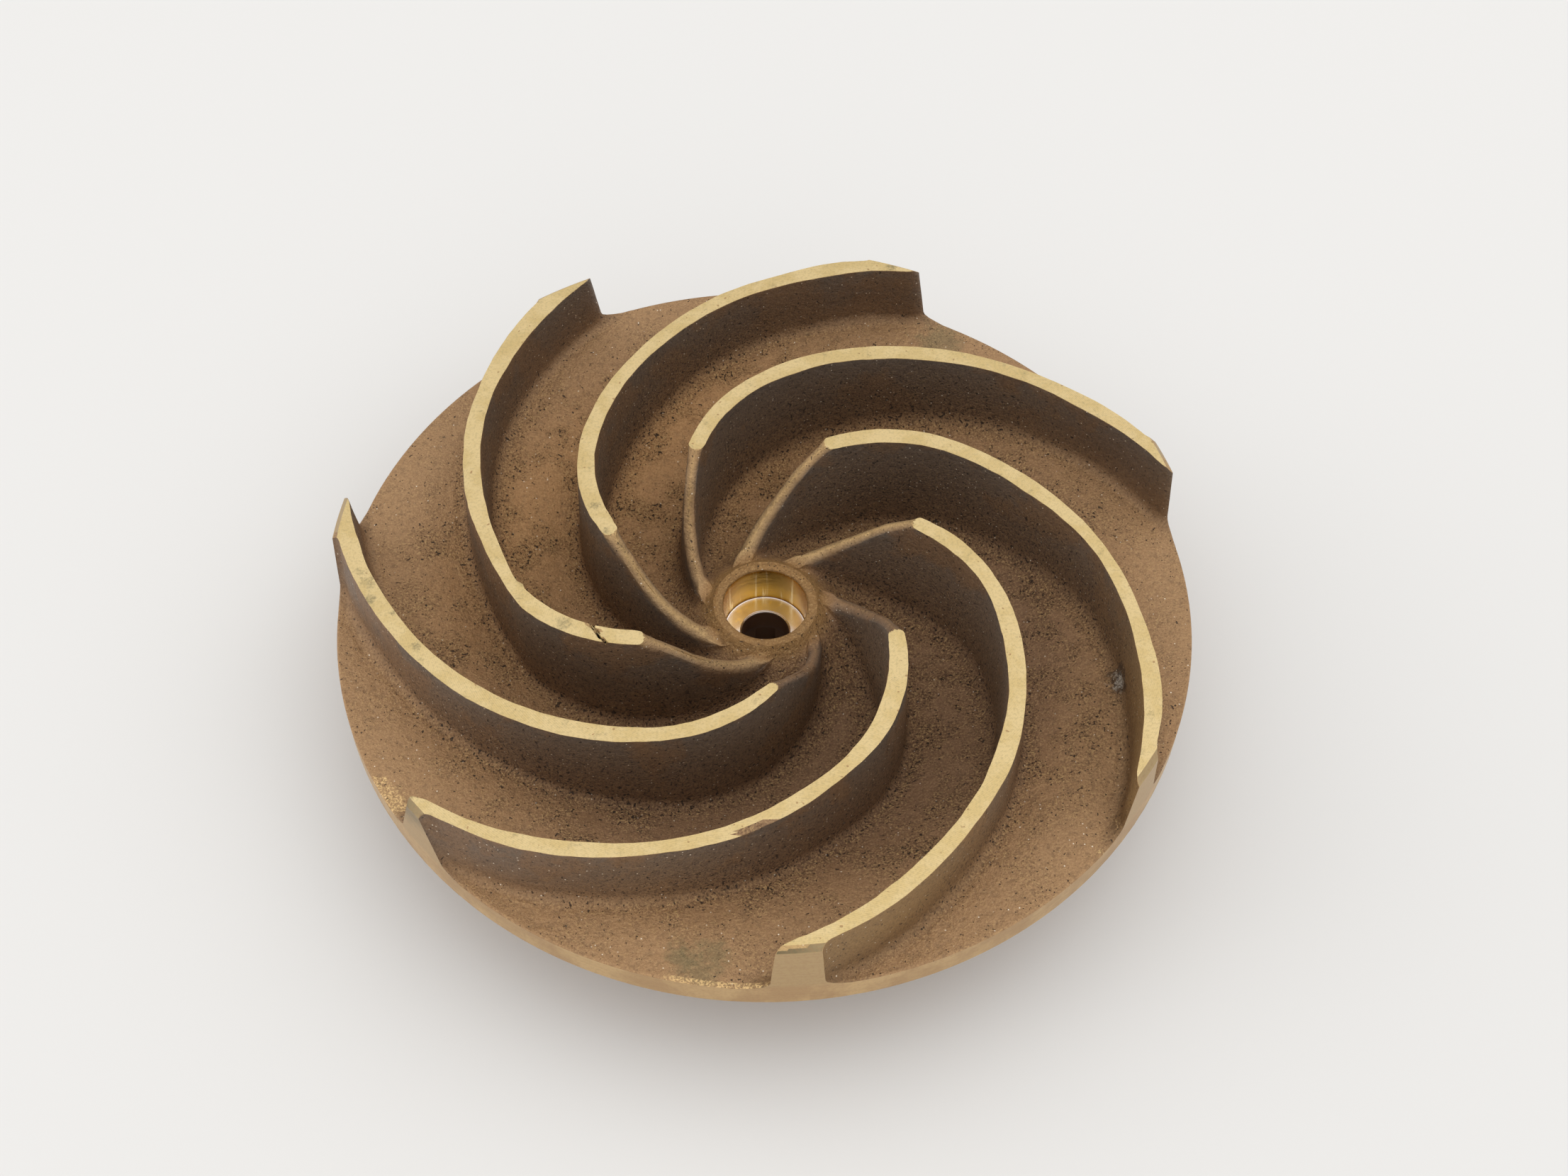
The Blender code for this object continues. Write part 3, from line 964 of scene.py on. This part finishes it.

# %% [markdown]
# The cast skin is bronze that froze against sand and then oxidised. Its tan is darkest on one side of
# the eye and warmer on the other, and lighter and warmer towards the rim, partly as painted light. The
# walls are greyer and darker, partly as painted shade, and near the rim they carry painted light above
# painted shade in the valleys. First comes the colour alone, laid in layers from the floor's tan to the
# crests' painted golden highlight.

# %% Colour of the cast skin
TAN = (0.385, 0.212, 0.095)
RIM_TAN = (0.405, 0.236, 0.112)
UMBER = (0.370, 0.203, 0.092)
BURNT = (0.255, 0.142, 0.076)
WARM = (0.60, 0.325, 0.130)
WALL_BROWN = (0.215, 0.124, 0.066)
WALL_GREY = (0.152, 0.115, 0.087)
LIT_WALL_TAN = (0.30, 0.175, 0.066)
VALLEY_SHADE_BROWN = (0.150, 0.080, 0.036)
HUB_BROWN = (0.31, 0.165, 0.045)
CREST_HIGHLIGHT_GOLD = (0.62, 0.41, 0.18)
STAIN_GREEN = (0.185, 0.150, 0.070)
PIT_BROWN = (0.022, 0.013, 0.009)
DARKER_SIDE = (0.64, -0.77, 0.0)
GREEN_STAINS = (((-11.3, -94.4, 34.0), 5.2), ((-17.0, -92.4, 34.0), 3.2), ((44.8, 83.7, 34.0), 5.0))
STAIN_STRENGTH = 0.55


def skin_colour(tree):
    """Tan floor, grey-brown walls and painted golden highlights on crests, before any grain goes over
    them.
    """
    cloud = noise_value(tree, 19.0, 5.0, 0.62)
    aside = on_vectors(tree, "DOT_PRODUCT", object_place(tree), DARKER_SIDE)["Value"]
    darker_side = stepped(plus(aside, times(cloud, 0.06)), 0.002, 0.062, 0.0, 0.8)
    warmer_side = stepped(aside, -0.070, -0.015, 0.75, 0.0)
    inward = by_radius(tree, 58, 94, 1.0, 0.0)
    near_rim = times(by_radius(tree, 72, 95, 0.0, 0.9), stepped(aside, 0.030, 0.075))
    foot = mask(tree, "foot")
    # The walls' colours are darker than the floor's, partly as painted shade.
    wall = layered(WALL_GREY, (
        (most(foot, stepped(cloud, 0.42, 0.60)), WALL_BROWN),
        # painted light on the walls near the rim, on one side
        (near_rim, LIT_WALL_TAN),
        (by_place(tree, "Y", 0, 45, 0.0, 0.22), PIT_BROWN)))
    layers = [(stepped(cloud, 0.36, 0.60), TAN),
              (times(darker_side, inward), BURNT),
              (times(warmer_side, inward), WARM),
              # lighter and warmer towards the rim, partly painted light where the channels open out
              (by_radius(tree, 66, 98), RIM_TAN),
              (mask(tree, "wall"), wall),
              # painted shade in the valleys at the walls' feet near the rim
              (times(stepped(foot, 0.55, 0.95, 0.0, 0.55), near_rim), VALLEY_SHADE_BROWN),
              # the golden line on the cast crests is a painted highlight
              (mask(tree, "crest"), CREST_HIGHLIGHT_GOLD),
              (by_radius(tree, 13, 17, 0.7, 0.0), HUB_BROWN)]
    for centre, reach in GREEN_STAINS:
        layers.append((times(patch(tree, centre, reach), STAIN_STRENGTH), STAIN_GREEN))
    return layered(UMBER, layers)


print("two greens near the rim and one behind:", len(GREEN_STAINS), "stains")

# %% [markdown]
# Grains of the mould left dark pits and light crumbs, thickest near the fillets, and here and there a
# bare grain carries a painted glint. Rubbed edges and small bruises show bare gold, a few gold spots
# are painted glints, and the lump's light grey top is a painted highlight. The same values raise the
# relief.

# %% Grain of the cast skin
SKIN_GOLD = (0.75, 0.50, 0.22)
MARK_AND_GLINT_GOLD = (0.85, 0.58, 0.26)
GLINT_GOLD = (1.0, 0.88, 0.70)
LUMP_HIGHLIGHT_GREY = (0.50, 0.44, 0.36)
LUMP_PLACE = (81.4, -23.4, 34.6)
# The last four spots are painted glints; the others are real gold marks.
GOLD_MARKS_AND_GLINTS = (((-83.2, -54.4, 34.0), 2.6), ((-81.2, -57.2, 34.0), 2.4), ((-85.2, -51.2, 34.0), 1.6),
              ((78.2, -61.1, 34.0), 1.3), ((72.5, -67.5, 34.0), 0.5), ((24.2, 13.4, 41.6), 0.5),
              ((44.6, -23.6, 26.0), 0.3), ((75.9, -32.5, 32.6), 0.3), ((-55.9, 58.2, 30.6), 0.3),
              ((-54.8, 54.4, 30.4), 0.3))
WORN_RADIUS = 99.3
WORN_EDGE = tuple(((x, -math.sqrt(WORN_RADIUS**2 - x * x), 34.0), 1.5) for x in range(-19, 3, 2))


def cast_skin():
    material, tree, shader = new_material("cast_bronze_skin")
    fine = noise_value(tree, 0.50, 3.0, 0.7)
    coarse = noise_value(tree, 1.6, 4.0, 0.7)
    clump = noise_value(tree, 10.0, 3.0, 0.6)
    calm_ends = times(by_radius(tree, 74, 96, 1.0, 0.25), by_radius(tree, 13.5, 20, 0.25, 1.0))
    calm_wall = stepped(mask(tree, "wall"), 0.05, 0.5, 1.0, 0.25)
    clumped = times(stepped(clump, 0.42, 0.64, 0.1, 0.9), calm_wall)
    rough_place = times(calm_ends, most(mask(tree, "foot"), clumped))
    grainy = plus(rough_place, 0.25)
    light_grain = times(stepped(fine, 0.52, 0.64, 0.0, 0.62), times(grainy, calm_wall))
    dark_grain = times(stepped(fine, 0.36, 0.47, 0.62, 0.0), plus(rough_place, 0.20))
    holes = plus(noise_value(tree, 0.75, 1.0, 0.5), times(rough_place, 0.10))
    pit = stepped(holes, 0.715, 0.755)
    worn_and_glints = times(patches(tree, WORN_EDGE, 0.5), by_radius(tree, 98.6, 99.0))
    worn_and_glints = most(worn_and_glints, patches(tree, GOLD_MARKS_AND_GLINTS, 0.8))
    lump_grain = stepped(fine, 0.42, 0.56, 0.2, 0.9)
    # Sparks are bare grains, less rough and more metallic, painted near white as glints.
    spark_near, spark_chance = cells(tree, 0.8)
    on_wall = stepped(mask(tree, "wall"), 0.0, 1.0, 0.0, 0.06)
    sparks = stepped(plus(spark_chance, on_wall), 0.955, 0.965)
    glint = times(stepped(spark_near, 0.13, 0.27, 0.8, 0.0), sparks)
    colour = layered(skin_colour(tree), (
        (stepped(coarse, 0.36, 0.50, 0.22, 0.0), PIT_BROWN),
        (light_grain, SKIN_GOLD),
        (dark_grain, PIT_BROWN),
        (times(pit, 0.85), PIT_BROWN),
        (times(worn_and_glints, stepped(fine, 0.44, 0.58, 0.15, 0.85)), MARK_AND_GLINT_GOLD),
        (times(patch(tree, LUMP_PLACE, 3.4, 0.5), 0.7), PIT_BROWN),
        # the lump's light grey top is a painted highlight on its grains
        (times(patch(tree, LUMP_PLACE, 1.9, 0.8), lump_grain), LUMP_HIGHLIGHT_GREY),
        (glint, GLINT_GOLD)))
    metallic = plus(times(glint, 0.5), 0.35)
    roughness = less(stepped(fine, 0.38, 0.62, 0.62, 0.50), times(glint, 0.30))
    swell = plus(times(coarse, 0.9), times(fine, grainy))
    finished(tree, shader, colour, metallic, roughness, less(swell, times(pit, 0.45)), 0.50)
    return material


print("golden marks:", len(GOLD_MARKS_AND_GLINTS), "and a rubbed edge of", len(WORN_EDGE), "spots")

# %% [markdown]
# The vane tops were faced off on the lathe and shine as pale, matt gold. Storage left faint stains
# and a few dark spots, and the tool's path shows as hair-fine arcs about the shaft.

# %% Turned tops
TOP_GOLD = (0.66, 0.49, 0.220)
TOP_PALE = (0.74, 0.57, 0.290)
STAIN_OLIVE = (0.25, 0.205, 0.105)
CRACK_BLACK = (0.03, 0.022, 0.014)
TOOL_PITCH = 0.42
TOP_STAINS = (((-92.0, -5.8, 51.0), 1.3, 0.5), ((-89.7, -8.7, 51.0), 1.6, 0.6),
              ((-88.9, -13.4, 51.0), 1.2, 0.9), ((-83.3, -17.2, 51.0), 0.6, 0.9),
              ((-77.2, -26.2, 51.0), 1.1, 0.8), ((-45.3, -19.8, 51.0), 1.6, 0.7),
              ((-39.9, 14.0, 51.0), 1.1, 0.8), ((-36.9, 6.7, 51.0), 0.9, 0.8),
              ((-14.0, 46.5, 51.0), 0.4, 0.8), ((31.8, 92.8, 51.0), 1.2, 0.9))


def turned_tops():
    material, tree, shader = new_material("turned_vane_tops")
    cloud = noise_value(tree, 6.0, 5.0, 0.65)
    grain = noise_value(tree, 0.6, 3.0, 0.65)
    stain = stepped(noise_value(tree, 3.4, 5.0, 0.7), 0.57, 0.68, 0.0, 0.40)
    for centre, reach, strength in TOP_STAINS:
        stain = most(stain, times(patch(tree, centre, reach), strength))
    speck = stepped(noise_value(tree, 1.3, 1.0, 0.5), 0.735, 0.775, 0.0, 0.7)
    colour = layered(TOP_GOLD, (
        (stepped(cloud, 0.38, 0.62), TOP_PALE),
        (stepped(grain, 0.36, 0.54, 0.22, 0.0), STAIN_OLIVE),
        (times(stain, stepped(grain, 0.36, 0.60, 0.95, 0.45)), STAIN_OLIVE),
        (speck, UMBER),
        (stepped(mask(tree, "scar"), 0.25, 0.8), CRACK_BLACK)))
    arcs = combined("SINE", times(distance_from_axis(tree), math.tau / (TOOL_PITCH * MM)))
    relief = plus(times(arcs, 0.10), less(grain, speck))
    finished(tree, shader, colour, 0.7, stepped(cloud, 0.35, 0.65, 0.40, 0.52), relief, 0.06)
    return material


print("stains on the tops:", len(TOP_STAINS))

# %% [markdown]
# The rim and the vane ends were turned in one pass along the shaft, so fine rings run round them.
# The band is smooth golden tan, the ends are paler, the bevels are tan, and one bevel and one vane end
# are darker olive.

# %% Turned rim and vane ends
RIM_GOLD = (0.60, 0.405, 0.190)
RIM_BRONZE = (0.47, 0.295, 0.135)
END_BEIGE = (0.49, 0.335, 0.160)
BEVEL_TAN = (0.44, 0.32, 0.165)
DARK_OLIVE = (0.20, 0.155, 0.080)
OLIVE_BEVEL_SPOT = ((3.0, -99.0, 50.0), 8.0)
OLIVE_END_SPOT = ((-76.0, -65.5, 50.5), 7.0)
BEVEL_FOOT = VANE_TOP - TIP_BEVEL


def turned_rim():
    material, tree, shader = new_material("turned_rim")
    cloud = noise_value(tree, 12.0, 5.0, 0.65)
    turning = noise_value(tree, 30.0, 3.0, 0.6, stretched(tree, (1.0, 1.0, 60.0)))
    grain = noise_value(tree, 0.7, 3.0, 0.65)
    bevel_colour = layered(BEVEL_TAN, ((patch(tree, *OLIVE_BEVEL_SPOT, 0.2), DARK_OLIVE),))
    colour = layered(RIM_BRONZE, (
        (stepped(cloud, 0.38, 0.62), RIM_GOLD),
        (by_place(tree, "Z", 33.5, 36.0), END_BEIGE),
        (by_place(tree, "Z", BEVEL_FOOT - 0.05, BEVEL_FOOT + 0.15), bevel_colour),
        (times(patch(tree, *OLIVE_END_SPOT, 0.2), 0.85), DARK_OLIVE),
        (stepped(turning, 0.38, 0.60, 0.14, 0.0), UMBER),
        (stepped(grain, 0.36, 0.54, 0.25, 0.0), UMBER)))
    relief = plus(turning, times(grain, 0.5))
    finished(tree, shader, colour, 0.6, 0.42, relief, 0.06)
    return material


print("the bevel begins at %.1f mm" % BEVEL_FOOT)

# %% [markdown]
# The bore is the brightest metal. A boring tool leaves rings that blur a reflection along the shaft,
# which is why a bore shows upright streaks of light; here they are painted highlights. Below the
# shoulder the deep hole is painted dark as shade.

# %% Bored steps
BORE_AMBER = (0.57, 0.322, 0.030)
BORE_PALE = (0.78, 0.72, 0.70)
BORE_HOLE_SHADE = (0.32, 0.185, 0.115)
BORE_GLEAM = (1.0, 0.86, 0.50)
HUB_FACE_GOLD = (0.62, 0.44, 0.22)


def bored_metal():
    material, tree, shader = new_material("bored_metal")
    turning = noise_value(tree, 12.0, 4.0, 0.7, stretched(tree, (1.0, 1.0, 90.0)))
    upright = noise_value(tree, 1.6, 3.0, 0.6, stretched(tree, (1.0, 1.0, 0.05)))
    below_shoulder = by_place(tree, "Z", SHOULDER - 0.9, SHOULDER - 0.3, 1.0, 0.0)
    # upright streaks above the shoulder, painted in as highlights
    gleam = times(stepped(upright, 0.56, 0.66, 0.0, 0.5), by_place(tree, "Z", SHOULDER - 0.3, SHOULDER))
    colour = layered(BORE_AMBER, (
        (by_place(tree, "Z", SHOULDER + 0.05, SHOULDER + 0.5, 1.0, 0.0), BORE_PALE),
        (below_shoulder, BORE_HOLE_SHADE),
        (stepped(turning, 0.36, 0.60, 0.3, 0.0), UMBER),
        (by_place(tree, "Z", 0.2, 1.6, 1.0, 0.0), HUB_FACE_GOLD),
        (gleam, BORE_GLEAM)))
    finished(tree, shader, colour, 1.0, stepped(below_shoulder, 0.0, 1.0, 0.20, 0.5), turning, 0.05)
    return material


for make in (cast_skin, turned_tops, turned_rim, bored_metal):
    casting.data.materials.append(make())
print("finishes:", [material.name for material in casting.data.materials])

# %% [markdown]
# The part lies on a wide card in pale, slightly warm grey, so its shadow shows and its light comes
# back a little into the undersides of the rim.

# %% Floor
FLOOR_REACH = 2.5
CARD_GREY = (0.8, 0.79, 0.775)


def add_floor():
    mesh = bpy.data.meshes.new("pale_floor")
    corners = [(x * FLOOR_REACH, y * FLOOR_REACH, 0) for x, y in ((-1, -1), (1, -1), (1, 1), (-1, 1))]
    mesh.from_pydata(corners, [], [(0, 1, 2, 3)])
    floor = bpy.data.objects.new("pale_floor", mesh)
    bpy.context.scene.collection.objects.link(floor)
    material, tree, shader = new_material("pale_card")
    feed(tree, shader.inputs["Base Color"], CARD_GREY)
    feed(tree, shader.inputs["Roughness"], 0.9)
    mesh.materials.append(material)
    return floor


print("standing on", add_floor().name)

# %% [markdown]
# A room of white walls lights the part, so the sky is a sum of soft lobes: each glows about one
# direction and fades as a power of the cosine. The strongest come from the walls at the left and in
# front, three more from high up and one from overhead. Such a sky gives soft shadows without a lamp.

# %% Soft room light
ROOM_LOBES = ((0, 90, 3, 0.40), (150, 45, 3, 0.83), (30, 45, 3, 0.95), (330, 45, 3, 0.735),
              (180, 8, 5, 1.725), (270, 8, 5, 1.28))
ROOM_WHITE = (1.0, 0.998, 0.992)


def lobe(tree, direction, azimuth, elevation, power, strength):
    """Glow about one direction, given in degrees round and above the horizon."""
    turn, rise = math.radians(azimuth), math.radians(elevation)
    aim = (math.cos(turn) * math.cos(rise), math.sin(turn) * math.cos(rise), math.sin(rise))
    facing = most(on_vectors(tree, "DOT_PRODUCT", direction, aim)["Value"], 0.0)
    return times(combined("POWER", facing, float(power)), strength)


def soft_room():
    world = bpy.data.worlds.new("soft_room")
    bpy.context.scene.world = world
    world.use_nodes = True
    tree = world.node_tree
    direction = made(tree, "TexCoord", {})["Generated"]
    strength = 0.0
    for row in ROOM_LOBES:
        strength = plus(lobe(tree, direction, *row), strength)
    background = tree.nodes["Background"]
    feed(tree, background.inputs["Color"], ROOM_WHITE)
    feed(tree, background.inputs["Strength"], strength)


soft_room()
bpy.context.scene.view_settings.view_transform = "Standard"
print("room lit by", len(ROOM_LOBES), "lobes")
